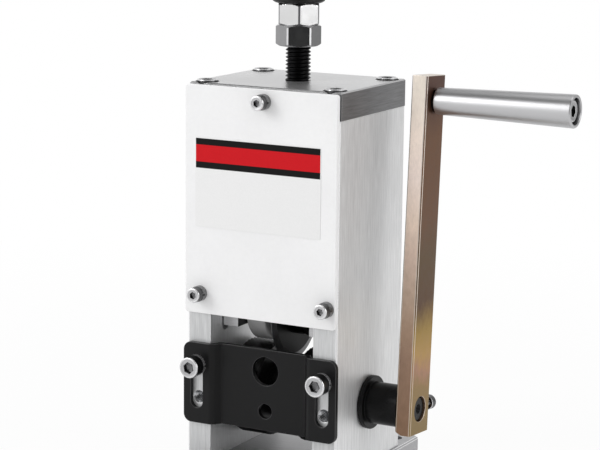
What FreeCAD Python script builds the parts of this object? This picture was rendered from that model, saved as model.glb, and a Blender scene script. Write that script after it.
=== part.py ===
"""Hand crank wire stripper: an adjustable blade head over two hand-turned feed wheels.

Millimetres. +X is the crank side, -Y the front where the wire goes in, +Z up.
The origin is the middle of the base plate's underside.
"""
import FreeCAD, Part
import math
import os

os.makedirs("parts", exist_ok=True)

V = FreeCAD.Vector
ORIGIN = V(0, 0, 0)
X_AXIS = V(1, 0, 0)
Y_AXIS = V(0, 1, 0)
Z_AXIS = V(0, 0, 1)
FRONT = V(0, -1, 0)
DOWN = V(0, 0, -1)

# Clearances
seat_gap = 0.02
running_gap = 0.05
slide_gap = 0.15
key_gap = 0.3
end_gap = 0.3
screw_hole_gap = 0.3

# Modelling aids: how far a cutting shape runs past a face, and how close counts as equal
overcut = 1.0
tolerance = 1e-4

# Base plate
base_width = 84.0
base_depth = 108.0
base_thick = 10.0
base_corner_r = 3.0
base_edge = 0.8
bench_hole_r = 3.3
bench_hole_x = 33.0
bench_hole_y = 45.0

# Body frame
body_width = 80.0
body_depth = 67.0
plate_thick = 12.5
plate_height = 168.0
block_height = 13.0
block_setback = 1.5
block_edge = 0.6
frame_screw_y = 26.5
frame_screw_proud = 1.0
frame_screw_length = 18.0

# Grooves in the side plates that guide the blade head
groove_width = 6.0
groove_depth = 4.0
groove_y = 19.5
groove_floor_z = 71.0

# Front cover and its label
cover_thick = 2.5
cover_height = 108.5
cover_drop = 0.7
cover_corner_r = 1.5
cover_low_screw_up = 9.7
cover_high_screw_down = 5.6
cover_screw_length = 12.0
cover_screw_shift = 2.0
cover_tap_depth = 10.0
cover_spacer_thick = 2.0
label_width = 66.4
label_height = 42.6
label_thick = 0.25
label_z = 144.7
label_x = -1.2
label_corner_r = 1.0

# Crank shaft and its bushings
shaft_r = 6.0
shaft_z = 40.2
bushing_r = 8.0
shaft_left_inset = 1.0
shaft_recess = 1.0

# Feed wheels and the sleeve they sit on
wheel_r = 23.0
wheel_side_gap = 2.5
wheel_width = 16.0
wheel_edge = 0.8
sleeve_r = 13.5
wheel_grub_r = 2.5
grub_length = 7.0

# Drive collar between the body and the crank arm
collar_flange_r = 12.8
collar_flange_thick = 2.5
collar_tube_r = 10.0

# Crank arm
arm_gap = 19.0
arm_thick = 8.0
arm_width = 20.0
arm_throw = 145.0
arm_end = 11.7
arm_tilt = 3.9
arm_edge = 0.7
arm_foot_chamfer_in = 3.2
arm_foot_chamfer_up = 1.6
clamp_screw_length = 9.0

# Handle
handle_bolt_r = 3.0
handle_nut_flats = 10.0
handle_nut_thick = 3.2
handle_near_r = 6.4
handle_far_r = 7.7
handle_length = 65.5
handle_pocket_r = 6.2
handle_pocket_depth = 8.0
handle_head_sink = 1.2
handle_edge = 0.7

# Blade head carrier
carrier_bottom_z = 73.7
carrier_height = 66.3
carrier_depth = 44.0
leg_thick = 8.2
crown_thick = 18.0
carrier_fillet = 3.0
key_height = 44.0
key_foot_up = 6.0
key_pocket = 1.5
key_reach = 3.4

# Blade, pressure drum and the axle they turn on
axle_r = 4.0
axle_z = 80.0
hub_r = 7.0
blade_r = 24.0
blade_thick = 2.0
blade_bevel = 3.5
blade_tip_thick = 0.3
drum_r = 15.5
drum_width = 10.0
drum_inset = 0.35
spacer_r = 11.0
lock_nut_flats = 20.0
lock_nut_thick = 5.0
drum_edge = 0.5

# Lead screw, nuts and star knob
lead_r = 6.0
journal_r = 4.0
lead_lift = 16.4
nut_flats = 19.0
nut_thick = 10.0
lower_nut_turn = 0.0
upper_nut_turn = 30.0
retainer_r = 10.0
retainer_thick = 2.5
retainer_screw_length = 12.0
knob_hub_r = 12.35
knob_hub_height = 12.0
knob_height = 32.0
knob_hub_chamfer = 2.4
knob_hub_chamfer_up = 1.0
knob_r = 25.0
knob_lobes = 7
knob_notch_r = 7.0
knob_notch_out = 27.0
knob_edge = 1.6
knob_thread_depth = 18.0

# Guide bracket on the front
bracket_overhang = 1.0
bracket_height = 39.4
bracket_thick = 2.5
bracket_bend_inset = 1.9
bracket_wall_run = 3.0
bracket_recess = 4.5
bracket_corner_r = 4.0
bracket_bend_r = 1.0
bracket_slot_width = 6.6
bracket_slot_run = 17.8
bracket_slot_margin = 7.6
guide_hole_r = 6.9
guide_hole_x = 1.2
guide_hole_up = 28.8
pilot_hole_r = 3.6
pilot_hole_up = 9.4
bracket_screw_z = 56.35
bracket_screw_spacing = 16.15
bracket_screw_length = 14.0

# Socket head screws: head radius, head height, shank radius, hex size, washer radius and height
M4 = {"head_r": 3.5, "head_h": 4.0, "shank_r": 2.0, "hex": 3.0, "washer_r": 3.7, "washer_h": 1.1}
M6 = {"head_r": 5.0, "head_h": 6.0, "shank_r": 3.0, "hex": 5.0, "washer_r": 5.0, "washer_h": 1.6}
head_chamfer = 0.5
hex_depth_share = 0.5
washer_slit = 0.6

# Places that several pieces share
inner_x = body_width / 2 - plate_thick
plate_mid_x = body_width / 2 - plate_thick / 2
front_y = -body_depth / 2
plate_top_z = base_thick + plate_height
block_top_z = plate_top_z + block_height
cover_top_z = block_top_z - cover_drop
cover_bottom_z = cover_top_z - cover_height
cover_front_y = front_y - cover_thick
cover_seat_y = cover_front_y - cover_spacer_thick
cover_low_z = cover_bottom_z + cover_low_screw_up
cover_high_z = cover_top_z - cover_high_screw_down
arm_inner_x = body_width / 2 + arm_gap
arm_outer_x = arm_inner_x + arm_thick
carrier_top_z = carrier_bottom_z + carrier_height
carrier_half = inner_x - slide_gap
leg_inner_x = carrier_half - leg_thick
crown_bottom_z = carrier_top_z - crown_thick
hub_half = leg_inner_x - end_gap
blade_half = blade_thick / 2
spacer_width = hub_half - drum_inset - drum_width - blade_half
wheel_outer_x = inner_x - wheel_side_gap
wheel_inner_x = wheel_outer_x - wheel_width
low_nut_z = block_top_z + lead_lift
high_nut_z = low_nut_z + nut_thick
knob_z = high_nut_z + nut_thick
bracket_face_y = front_y - bracket_thick
bracket_top_z = bracket_screw_z + bracket_slot_width / 2 + bracket_slot_margin
bracket_bottom_z = bracket_top_z - bracket_height
bracket_half = body_width / 2 + bracket_overhang
bracket_bend_x = inner_x - bracket_bend_inset
tapped_r = M6["shank_r"] + seat_gap
small_tapped_r = M4["shank_r"] + seat_gap
handle_start_x = arm_outer_x + handle_nut_thick + end_gap
handle_end_x = handle_start_x + handle_length


def box(x0, x1, y0, y1, z0, z1):
    """A block between two X, two Y and two Z values."""
    return Part.makeBox(x1 - x0, y1 - y0, z1 - z0, V(x0, y0, z0))


def bar_x(radius, x0, x1, y=0.0, z=0.0):
    """A round bar along X."""
    return Part.makeCylinder(radius, x1 - x0, V(x0, y, z), X_AXIS)


def bar_y(radius, y0, y1, x=0.0, z=0.0):
    """A round bar along Y."""
    return Part.makeCylinder(radius, y1 - y0, V(x, y0, z), Y_AXIS)


def bar_z(radius, z0, z1, x=0.0, y=0.0):
    """A round bar along Z."""
    return Part.makeCylinder(radius, z1 - z0, V(x, y, z0), Z_AXIS)


def edges_along(shape, axis):
    """The straight edges that run along an axis."""
    found = []
    for edge in shape.Edges:
        if len(edge.Vertexes) != 2:
            continue
        run = edge.Vertexes[1].Point - edge.Vertexes[0].Point
        if run.Length > 0 and abs(abs(run.normalize().dot(axis)) - 1) < tolerance:
            found.append(edge)
    return found


def upright_bar(x, z0, z1, width, y0, y1):
    """A round-ended bar standing along Z, square through Y."""
    half = width / 2
    middle = box(x - half, x + half, y0, y1, z0 + half, z1 - half)
    low = bar_y(half, y0, y1, x, z0 + half)
    high = bar_y(half, y0, y1, x, z1 - half)
    return middle.fuse([low, high]).removeSplitter()


def upright_key(y, z0, z1, width, x0, x1):
    """A round-ended bar standing along Z, square through X."""
    half = width / 2
    middle = box(x0, x1, y - half, y + half, z0 + half, z1 - half)
    low = bar_x(half, x0, x1, y, z0 + half)
    high = bar_x(half, x0, x1, y, z1 - half)
    return middle.fuse([low, high]).removeSplitter()


def hex_prism(flats, height, turn=0.0):
    """A hexagon prism standing on the XY plane, a flat facing +X when turn is 0."""
    corner_r = flats / math.sqrt(3)
    points = []
    for corner in range(7):
        angle = math.radians(30 + 60 * corner + turn)
        points.append(V(corner_r * math.cos(angle), corner_r * math.sin(angle), 0))
    return Part.Face(Part.makePolygon(points)).extrude(V(0, 0, height))


def hex_nut(flats, height, bore_r, turn=0.0):
    """A nut with its corners turned off at 30 degrees, standing on the XY plane."""
    corner_r = flats / math.sqrt(3)
    drop = (corner_r - flats / 2) * math.tan(math.radians(30))
    profile = [V(0, 0, 0), V(flats / 2, 0, 0), V(corner_r, 0, drop),
               V(corner_r, 0, height - drop), V(flats / 2, 0, height),
               V(0, 0, height), V(0, 0, 0)]
    turned = Part.Face(Part.makePolygon(profile)).revolve(ORIGIN, Z_AXIS, 360)
    bore = bar_z(bore_r, -overcut, height + overcut)
    return hex_prism(flats, height, turn).common(turned).cut(bore)


def revolve_x(points):
    """A body of revolution about X from a half section in the XZ plane."""
    profile = points + [points[0]]
    return Part.Face(Part.makePolygon(profile)).revolve(ORIGIN, X_AXIS, 360)


def place(shape, direction, point):
    """A shape built along +Z, turned so that +Z points along direction, moved to point."""
    moved = shape.copy()
    turn = FreeCAD.Rotation(Z_AXIS, direction)
    moved.Placement = FreeCAD.Placement(point, turn)
    return moved


def socket_screw(size, length):
    """A socket head screw: head above the XY plane, shank below it."""
    head = bar_z(size["head_r"], 0, size["head_h"])
    rim = [edge for edge in head.Edges if edge.BoundBox.ZMin > size["head_h"] - tolerance]
    head = head.makeChamfer(head_chamfer, rim)
    depth = size["head_h"] * hex_depth_share
    socket = hex_prism(size["hex"], depth + overcut)
    socket.translate(V(0, 0, size["head_h"] - depth))
    return head.fuse(bar_z(size["shank_r"], -length, 0)).cut(socket).removeSplitter()


def spring_washer(size):
    """A split lock washer standing on the XY plane."""
    ring = bar_z(size["washer_r"], 0, size["washer_h"])
    ring = ring.cut(bar_z(size["shank_r"] + screw_hole_gap, -overcut, size["washer_h"] + overcut))
    half = washer_slit / 2
    slit = box(0, size["washer_r"] + overcut, -half, half, -overcut, size["washer_h"] + overcut)
    return ring.cut(slit)


def grub_screw(radius, length):
    """A headless screw with a hexagon socket, its point at the origin and its body above."""
    body = bar_z(radius, 0, length)
    socket = hex_prism(radius, length)
    socket.translate(V(0, 0, length / 2))
    return body.cut(socket)


def frame_screw_places():
    """X and Y of the four screws that hold the block and base to the side plates."""
    return [(sx * plate_mid_x, sy * frame_screw_y) for sx in (-1, 1) for sy in (-1, 1)]


def base_plate():
    half_x = base_width / 2
    half_y = base_depth / 2
    plate = box(-half_x, half_x, -half_y, half_y, 0, base_thick)
    plate = plate.makeFillet(base_corner_r, edges_along(plate, Z_AXIS))
    top = [edge for edge in plate.Edges if edge.BoundBox.ZMin > base_thick - tolerance]
    plate = plate.makeChamfer(base_edge, top)
    sunk = M6["head_h"] + frame_screw_proud / 2
    for x, y in frame_screw_places():
        plate = plate.cut(bar_z(M6["shank_r"] + screw_hole_gap, -overcut, base_thick + overcut, x, y))
        plate = plate.cut(bar_z(M6["head_r"] + 2 * screw_hole_gap, -overcut, sunk, x, y))
    for sx in (-1, 1):
        for sy in (-1, 1):
            plate = plate.cut(bar_z(bench_hole_r, -overcut, base_thick + overcut,
                                    sx * bench_hole_x, sy * bench_hole_y))
    return plate


def side_plate(side):
    """One side plate: shaft bore, guide grooves and tapped holes; side is -1 or 1.

    Both are the same but for the cover screw's hole, which sits a little to the right.
    """
    outer_x = body_width / 2
    plate = box(inner_x, outer_x, front_y, -front_y, base_thick, plate_top_z)
    outer = [edge for edge in edges_along(plate, Z_AXIS) if edge.CenterOfMass.x > plate_mid_x]
    plate = plate.makeChamfer(block_edge, outer)
    plate = plate.cut(bar_x(bushing_r + seat_gap, inner_x - overcut, outer_x + overcut, 0, shaft_z))
    for y in (-groove_y, groove_y):
        groove = upright_key(y, groove_floor_z, plate_top_z + groove_width,
                             groove_width, inner_x - overcut, inner_x + groove_depth)
        plate = plate.cut(groove)
    for y in (-frame_screw_y, frame_screw_y):
        plate = plate.cut(bar_z(tapped_r, plate_top_z - frame_screw_length, plate_top_z + overcut,
                                plate_mid_x, y))
        plate = plate.cut(bar_z(tapped_r, base_thick - overcut, base_thick + frame_screw_length,
                                plate_mid_x, y))
    for z in (bracket_screw_z, bracket_screw_z - bracket_screw_spacing):
        plate = plate.cut(bar_y(tapped_r, front_y - overcut, front_y + bracket_screw_length,
                                plate_mid_x, z))
    if side < 0:
        plate = plate.mirror(ORIGIN, X_AXIS)
    return plate.cut(bar_y(small_tapped_r, front_y - overcut, front_y + cover_tap_depth,
                           side * plate_mid_x + cover_screw_shift, cover_low_z))


def top_block():
    """The block across the side plates that the lead screw threads through."""
    half = body_width / 2
    block = box(-half, half, front_y + block_setback, -front_y, plate_top_z, block_top_z)
    top = [edge for edge in block.Edges if edge.BoundBox.ZMin > block_top_z - tolerance]
    block = block.makeChamfer(block_edge, top)
    block = block.cut(bar_z(lead_r + running_gap, plate_top_z - overcut, block_top_z + overcut))
    seat_z = block_top_z - M6["head_h"] + frame_screw_proud
    for x, y in frame_screw_places():
        hole = bar_z(M6["shank_r"] + screw_hole_gap, plate_top_z - overcut, block_top_z + overcut, x, y)
        pocket = bar_z(M6["head_r"] + 2 * screw_hole_gap, seat_z, block_top_z + overcut, x, y)
        block = block.cut(hole).cut(pocket)
    return block.cut(bar_y(small_tapped_r, front_y, front_y + cover_tap_depth,
                           cover_screw_shift, cover_high_z))


def cover_screw_places():
    """X and Z of the three cover screws."""
    return [(cover_screw_shift - plate_mid_x, cover_low_z),
            (cover_screw_shift + plate_mid_x, cover_low_z),
            (cover_screw_shift, cover_high_z)]


def front_cover():
    half = body_width / 2
    cover = box(-half, half, cover_front_y, front_y, cover_bottom_z, cover_top_z)
    cover = cover.makeFillet(cover_corner_r, edges_along(cover, Y_AXIS))
    for x, z in cover_screw_places():
        hole = bar_y(M4["shank_r"] + screw_hole_gap, cover_front_y - overcut, front_y + overcut, x, z)
        cover = cover.cut(hole)
    return cover


def cover_label():
    """A thin sheet stuck on the front cover."""
    half = label_width / 2
    label = box(label_x - half, label_x + half, cover_front_y - label_thick, cover_front_y,
                label_z - label_height / 2, label_z + label_height / 2)
    return label.makeFillet(label_corner_r, edges_along(label, Y_AXIS))


def screws_on_front(size, length, places, face_y, washer):
    """Socket screws driven into the front at (x, z) places, head or washer on face_y."""
    lift = size["washer_h"] if washer else 0.0
    pieces = []
    for x, z in places:
        pieces.append(place(socket_screw(size, length + lift), FRONT, V(x, face_y - lift, z)))
    return pieces


def washers_on_front(size, places, face_y):
    return [place(spring_washer(size), FRONT, V(x, face_y, z)) for x, z in places]


def cover_spacers():
    """Plain rings that lift the cover screws' washers off the cover."""
    spacers = []
    for x, z in cover_screw_places():
        ring = bar_y(M4["washer_r"], cover_seat_y, cover_front_y, x, z)
        bore = bar_y(M4["shank_r"] + screw_hole_gap, cover_seat_y, cover_front_y, x, z)
        spacers.append(ring.cut(bore))
    return spacers


def top_screws():
    seat_z = block_top_z - M6["head_h"] + frame_screw_proud
    length = seat_z - plate_top_z + frame_screw_length - end_gap
    screw = socket_screw(M6, length)
    return [place(screw, Z_AXIS, V(x, y, seat_z)) for x, y in frame_screw_places()]


def base_screws():
    seat_z = M6["head_h"] + frame_screw_proud / 2
    length = base_thick - seat_z + frame_screw_length - end_gap
    screw = socket_screw(M6, length)
    return [place(screw, DOWN, V(x, y, seat_z)) for x, y in frame_screw_places()]


def shaft_bushings():
    bushings = []
    for x0 in (-body_width / 2, inner_x):
        sleeve = bar_x(bushing_r, x0, x0 + plate_thick, 0, shaft_z)
        bore = bar_x(shaft_r + running_gap, x0 - overcut, x0 + plate_thick + overcut, 0, shaft_z)
        bushings.append(sleeve.cut(bore))
    return bushings


def crank_shaft():
    left_end = shaft_left_inset - body_width / 2
    return bar_x(shaft_r, left_end, arm_outer_x - shaft_recess, 0, shaft_z)


def feed_sleeve():
    """The turned sleeve on the shaft that joins the two feed wheels."""
    sleeve = bar_x(sleeve_r, -wheel_outer_x, wheel_outer_x, 0, shaft_z)
    bore = bar_x(shaft_r + seat_gap, -wheel_outer_x, wheel_outer_x, 0, shaft_z)
    hole = bar_z(wheel_grub_r + seat_gap, shaft_z, shaft_z + sleeve_r + overcut)
    return sleeve.cut([bore, hole])


def feed_wheel_right():
    bore = sleeve_r + seat_gap
    wheel = revolve_x([V(wheel_inner_x, 0, bore), V(wheel_inner_x, 0, wheel_r - wheel_edge),
                       V(wheel_inner_x + wheel_edge, 0, wheel_r),
                       V(wheel_outer_x - wheel_edge, 0, wheel_r),
                       V(wheel_outer_x, 0, wheel_r - wheel_edge), V(wheel_outer_x, 0, bore)])
    wheel.translate(V(0, 0, shaft_z))
    return wheel


def wheel_grub():
    return place(grub_screw(wheel_grub_r, grub_length), Z_AXIS,
                 V(0, 0, shaft_z + shaft_r + seat_gap))


def drive_collar():
    """The black collar that keeps the arm away from the body."""
    flange_x = body_width / 2 + end_gap
    tube_x = flange_x + collar_flange_thick
    bore = shaft_r + seat_gap
    collar = revolve_x([V(flange_x, 0, bore), V(flange_x, 0, collar_flange_r),
                        V(tube_x, 0, collar_flange_r), V(tube_x, 0, collar_tube_r),
                        V(arm_inner_x, 0, collar_tube_r), V(arm_inner_x, 0, bore)])
    collar.translate(V(0, 0, shaft_z))
    return collar


def on_tilted_arm(shape):
    """Lean a shape back about the shaft, as the arm stands."""
    leaned = shape.copy()
    leaned.rotate(V(0, 0, shaft_z), X_AXIS, -arm_tilt)
    return leaned


def crank_arm():
    """The flat arm: clamp bore at the foot, handle bore at the head."""
    half = arm_width / 2
    foot_z = shaft_z - arm_end
    head_z = shaft_z + arm_throw + arm_end
    profile = [V(arm_inner_x, -half, foot_z + arm_foot_chamfer_up),
               V(arm_inner_x + arm_foot_chamfer_in, -half, foot_z),
               V(arm_outer_x, -half, foot_z),
               V(arm_outer_x, -half, head_z),
               V(arm_inner_x, -half, head_z)]
    profile.append(profile[0])
    arm = Part.Face(Part.makePolygon(profile)).extrude(V(0, arm_width, 0))
    arm = arm.makeChamfer(arm_edge, edges_along(arm, Z_AXIS))
    arm = arm.cut(bar_x(shaft_r + seat_gap, arm_inner_x - overcut, arm_outer_x + overcut, 0, shaft_z))
    arm = arm.cut(bar_x(handle_bolt_r + seat_gap, arm_inner_x - overcut, arm_outer_x + overcut, 0,
                        shaft_z + arm_throw))
    mid_x = arm_inner_x + arm_thick / 2
    arm = arm.cut(bar_y(small_tapped_r, shaft_r, half + overcut, mid_x, shaft_z))
    return on_tilted_arm(arm)


def arm_clamp_screw():
    """The screw in the arm's back edge that pinches the shaft."""
    mid_x = arm_inner_x + arm_thick / 2
    reach = arm_width / 2 - shaft_r
    stand_off = clamp_screw_length - reach + end_gap
    screw = socket_screw(M4, clamp_screw_length)
    return on_tilted_arm(place(screw, Y_AXIS, V(mid_x, arm_width / 2 + stand_off, shaft_z)))


def at_handle(shape):
    """Move a shape built on the X axis to the handle's place on the leaning arm."""
    moved = shape.copy()
    moved.translate(V(0, 0, shaft_z + arm_throw))
    return on_tilted_arm(moved)


def handle_sleeve():
    """The tapered hand grip with a pocket for the bolt head in its far end."""
    bore = handle_bolt_r + running_gap
    pocket_x = handle_end_x - handle_pocket_depth
    grip = revolve_x([V(handle_start_x, 0, bore),
                      V(handle_start_x, 0, handle_near_r - handle_edge),
                      V(handle_start_x + handle_edge, 0, handle_near_r),
                      V(handle_end_x - handle_edge, 0, handle_far_r),
                      V(handle_end_x, 0, handle_far_r - handle_edge),
                      V(handle_end_x, 0, handle_pocket_r),
                      V(pocket_x, 0, handle_pocket_r),
                      V(pocket_x, 0, bore)])
    return at_handle(grip)


def handle_bolt():
    """The long bolt that holds the grip, screwed through the arm."""
    head_x = handle_end_x - handle_head_sink - M6["head_h"]
    screw = socket_screw(M6, head_x - arm_inner_x)
    return at_handle(place(screw, X_AXIS, V(head_x, 0, 0)))


def handle_nut():
    nut = hex_nut(handle_nut_flats, handle_nut_thick, handle_bolt_r + seat_gap)
    return at_handle(place(nut, X_AXIS, V(arm_outer_x, 0, 0)))


def blade_carrier():
    """The sliding fork: two legs under a crown, with key pockets and an axle bore."""
    half_y = carrier_depth / 2
    carrier = box(-carrier_half, carrier_half, -half_y, half_y, carrier_bottom_z, carrier_top_z)
    window = box(-leg_inner_x, leg_inner_x, -half_y - overcut, half_y + overcut,
                 carrier_bottom_z - overcut, crown_bottom_z)
    window = window.makeFillet(carrier_fillet, [
        edge for edge in edges_along(window, Y_AXIS) if edge.CenterOfMass.z > carrier_bottom_z])
    carrier = carrier.cut(window)
    end_x = carrier_half + overcut
    carrier = carrier.cut(bar_x(axle_r + seat_gap, -end_x, end_x, 0, axle_z))
    carrier = carrier.cut(bar_z(journal_r + running_gap, crown_bottom_z - overcut,
                                carrier_top_z + overcut))
    foot_z = carrier_bottom_z + key_foot_up - seat_gap
    for sx in (-1, 1):
        ends = sorted((sx * (carrier_half - key_pocket), sx * end_x))
        for sy in (-1, 1):
            pocket = upright_key(sy * groove_y, foot_z, foot_z + key_height + 2 * seat_gap,
                                 groove_width - 2 * key_gap + 2 * seat_gap, ends[0], ends[1])
            carrier = carrier.cut(pocket)
    return carrier


def guide_keys():
    """Four keys set in the carrier that run in the side plates' grooves."""
    foot_z = carrier_bottom_z + key_foot_up
    keys = []
    for sx in (-1, 1):
        ends = sorted((sx * (carrier_half - key_pocket + seat_gap), sx * (inner_x + key_reach)))
        for sy in (-1, 1):
            keys.append(upright_key(sy * groove_y, foot_z, foot_z + key_height,
                                    groove_width - 2 * key_gap, ends[0], ends[1]))
    return keys


def blade_axle():
    return bar_x(axle_r, -carrier_half, carrier_half, 0, axle_z)


def blade_hub():
    """The sleeve that carries drum and blade and turns on the axle."""
    hub = bar_x(hub_r, -hub_half, hub_half, 0, axle_z)
    return hub.cut(bar_x(axle_r + running_gap, -hub_half - overcut, hub_half + overcut, 0, axle_z))


def blade_disc():
    """The round blade, ground to an edge from both faces."""
    tip = blade_tip_thick / 2
    bore = hub_r + seat_gap
    shoulder_r = blade_r - blade_bevel
    disc = revolve_x([V(-blade_half, 0, bore), V(-blade_half, 0, shoulder_r),
                      V(-tip, 0, blade_r), V(tip, 0, blade_r),
                      V(blade_half, 0, shoulder_r), V(blade_half, 0, bore)])
    disc.translate(V(0, 0, axle_z))
    return disc


def ring_on_hub(radius, x0, x1, edge):
    """A plain ring on the blade hub with broken edges."""
    bore = hub_r + seat_gap
    ring = revolve_x([V(x0, 0, bore), V(x0, 0, radius - edge), V(x0 + edge, 0, radius),
                      V(x1 - edge, 0, radius), V(x1, 0, radius - edge), V(x1, 0, bore)])
    ring.translate(V(0, 0, axle_z))
    return ring


def blade_spacers():
    outer_x = blade_half + spacer_width
    left = ring_on_hub(spacer_r, -outer_x, -blade_half, drum_edge)
    right = ring_on_hub(spacer_r, blade_half, outer_x, drum_edge)
    return [left, right]


def pressure_drum():
    right = -blade_half - spacer_width
    return ring_on_hub(drum_r, right - drum_width, right, drum_edge)


def blade_lock_nut():
    nut = hex_nut(lock_nut_flats, lock_nut_thick, hub_r + seat_gap)
    return place(nut, X_AXIS, V(blade_half + spacer_width, 0, axle_z))


def lead_screw():
    """The adjusting screw with a plain journal at its foot."""
    shoulder_z = carrier_top_z + end_gap
    screw = bar_z(lead_r, shoulder_z, knob_z + knob_thread_depth - end_gap)
    tip = [edge for edge in screw.Edges if edge.BoundBox.ZMin > knob_z]
    screw = screw.makeChamfer(head_chamfer, tip)
    screw = screw.fuse(bar_z(journal_r, crown_bottom_z - end_gap, shoulder_z))
    tapped = bar_z(small_tapped_r, crown_bottom_z - overcut, crown_bottom_z + retainer_screw_length)
    return screw.cut(tapped).removeSplitter()


def screw_retainer():
    """The washer under the crown that lets the screw lift the carrier."""
    top_z = crown_bottom_z - end_gap
    disc = bar_z(retainer_r, top_z - retainer_thick, top_z)
    return disc.cut(bar_z(M4["shank_r"] + screw_hole_gap, top_z - retainer_thick - overcut,
                          top_z + overcut))


def retainer_screw():
    seat_z = crown_bottom_z - end_gap - retainer_thick
    return place(socket_screw(M4, retainer_screw_length), DOWN, V(0, 0, seat_z))


def lead_nut(bottom_z, turn):
    nut = hex_nut(nut_flats, nut_thick, lead_r + seat_gap, turn)
    nut.translate(V(0, 0, bottom_z))
    return nut


def star_knob():
    """A star knob: round hub below, lobed grip above."""
    lobe_z = knob_z + knob_hub_height
    grip = bar_z(knob_r, lobe_z, knob_z + knob_height)
    for lobe in range(knob_lobes):
        angle = 2 * math.pi * lobe / knob_lobes
        grip = grip.cut(bar_z(knob_notch_r, lobe_z - overcut, knob_z + knob_height + overcut,
                              knob_notch_out * math.cos(angle), knob_notch_out * math.sin(angle)))
    rims = [edge for edge in grip.Edges
            if edge.BoundBox.ZMax - edge.BoundBox.ZMin < tolerance]
    grip = grip.makeChamfer(knob_edge, rims)
    chamfer_r = knob_hub_r - knob_hub_chamfer
    hub_profile = [V(0, 0, knob_z), V(chamfer_r, 0, knob_z),
                   V(knob_hub_r, 0, knob_z + knob_hub_chamfer_up),
                   V(knob_hub_r, 0, lobe_z + knob_edge), V(0, 0, lobe_z + knob_edge),
                   V(0, 0, knob_z)]
    hub = Part.Face(Part.makePolygon(hub_profile)).revolve(ORIGIN, Z_AXIS, 360)
    bore = bar_z(lead_r + seat_gap, knob_z - overcut, knob_z + knob_thread_depth)
    return grip.fuse(hub).cut(bore).removeSplitter()


def bracket_bends():
    """Plan places of the right-hand bends: front and back corner at flange and at web."""
    web_x = bracket_bend_x - bracket_wall_run
    web_y = bracket_face_y + bracket_recess
    lean = math.atan2(bracket_recess, bracket_wall_run)
    shift = bracket_thick * math.tan(lean / 2)
    flange_front = V(bracket_bend_x, bracket_face_y, 0)
    flange_back = V(bracket_bend_x + shift, front_y, 0)
    web_front = V(web_x, web_y, 0)
    web_back = V(web_x + shift, web_y + bracket_thick, 0)
    return flange_front, flange_back, web_front, web_back


def bracket_outline():
    """Top view of the bent sheet: flange, slanting wall and recessed web, mirrored."""
    flange_front, flange_back, web_front, web_back = bracket_bends()
    right = [web_front, flange_front, V(bracket_half, bracket_face_y, 0),
             V(bracket_half, front_y, 0), flange_back, web_back]
    left = [V(-point.x, point.y, 0) for point in reversed(right)]
    return right + left + [right[0]]


def edges_at(shape, places):
    """The upright edges at any of the plan places or their mirror images."""
    found = []
    for edge in edges_along(shape, Z_AXIS):
        spot = V(abs(edge.CenterOfMass.x), edge.CenterOfMass.y, 0)
        if any((spot - place_xy).Length < tolerance for place_xy in places):
            found.append(edge)
    return found


def guide_bracket():
    """The slotted sheet bracket that steers the wire under the blade.

    A joggled strip is extruded upwards and its bends are rounded with one
    inside and one outside radius. The slots and holes are then cut where the
    body's tapped holes and the wire lie.
    """
    flange_front, flange_back, web_front, web_back = bracket_bends()
    face = Part.Face(Part.makePolygon(bracket_outline()))
    bracket = face.extrude(V(0, 0, bracket_height))
    inside = edges_at(bracket, [flange_back, web_front])
    bracket = bracket.makeFillet(bracket_bend_r, inside)
    outside = edges_at(bracket, [flange_front, web_back])
    bracket = bracket.makeFillet(bracket_bend_r + bracket_thick, outside)
    corners = [edge for edge in edges_along(bracket, Y_AXIS)
               if abs(edge.CenterOfMass.x) > bracket_half - tolerance]
    bracket = bracket.makeFillet(bracket_corner_r, corners)
    bracket.translate(V(0, 0, bracket_bottom_z))
    slot_top_z = bracket_screw_z + bracket_slot_width / 2
    slot_low_z = slot_top_z - bracket_slot_run - bracket_slot_width
    for side in (-1, 1):
        slot = upright_bar(side * plate_mid_x, slot_low_z, slot_top_z, bracket_slot_width,
                           bracket_face_y - overcut, front_y + overcut)
        bracket = bracket.cut(slot)
    web_back_y = front_y + bracket_recess
    for radius, up in ((guide_hole_r, guide_hole_up), (pilot_hole_r, pilot_hole_up)):
        bracket = bracket.cut(bar_y(radius, front_y, web_back_y + overcut,
                                    guide_hole_x, bracket_bottom_z + up))
    return bracket


def export(node, shapes):
    """Write one node: a single solid, or a group of separate solids."""
    if not isinstance(shapes, list):
        shapes = [shapes]
    solids = [solid for shape in shapes for solid in shape.Solids]
    shape = solids[0] if len(solids) == 1 else Part.makeCompound(solids)
    shape.exportStep("parts/" + node + ".step")


bracket_screw_places = [(-plate_mid_x, bracket_screw_z), (plate_mid_x, bracket_screw_z)]

export("base_plate", base_plate())
export("side_plate_right", side_plate(1))
export("side_plate_left", side_plate(-1))
export("top_block", top_block())
export("front_cover", front_cover())
export("cover_label", cover_label())
export("cover_screws", screws_on_front(M4, cover_screw_length, cover_screw_places(),
                                       cover_seat_y, True))
export("cover_washers", cover_spacers() + washers_on_front(M4, cover_screw_places(), cover_seat_y))
export("top_screws", top_screws())
export("base_screws", base_screws())
export("shaft_bushings", shaft_bushings())
export("bracket_screws", screws_on_front(M6, bracket_screw_length, bracket_screw_places,
                                         bracket_face_y, True))
export("bracket_washers", washers_on_front(M6, bracket_screw_places, bracket_face_y))
export("guide_bracket", guide_bracket())
export("crank_shaft", crank_shaft())
export("feed_sleeve", feed_sleeve())
export("feed_wheel_right", feed_wheel_right())
export("feed_wheel_left", feed_wheel_right().mirror(ORIGIN, X_AXIS))
export("wheel_grub", wheel_grub())
export("drive_collar", drive_collar())
export("crank_arm", crank_arm())
export("arm_clamp_screw", arm_clamp_screw())
export("handle_bolt", handle_bolt())
export("handle_nut", handle_nut())
export("handle_sleeve", handle_sleeve())
export("blade_carrier", blade_carrier())
export("guide_keys", guide_keys())
export("blade_axle", blade_axle())
export("blade_hub", blade_hub())
export("blade_disc", blade_disc())
export("blade_spacers", blade_spacers())
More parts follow.
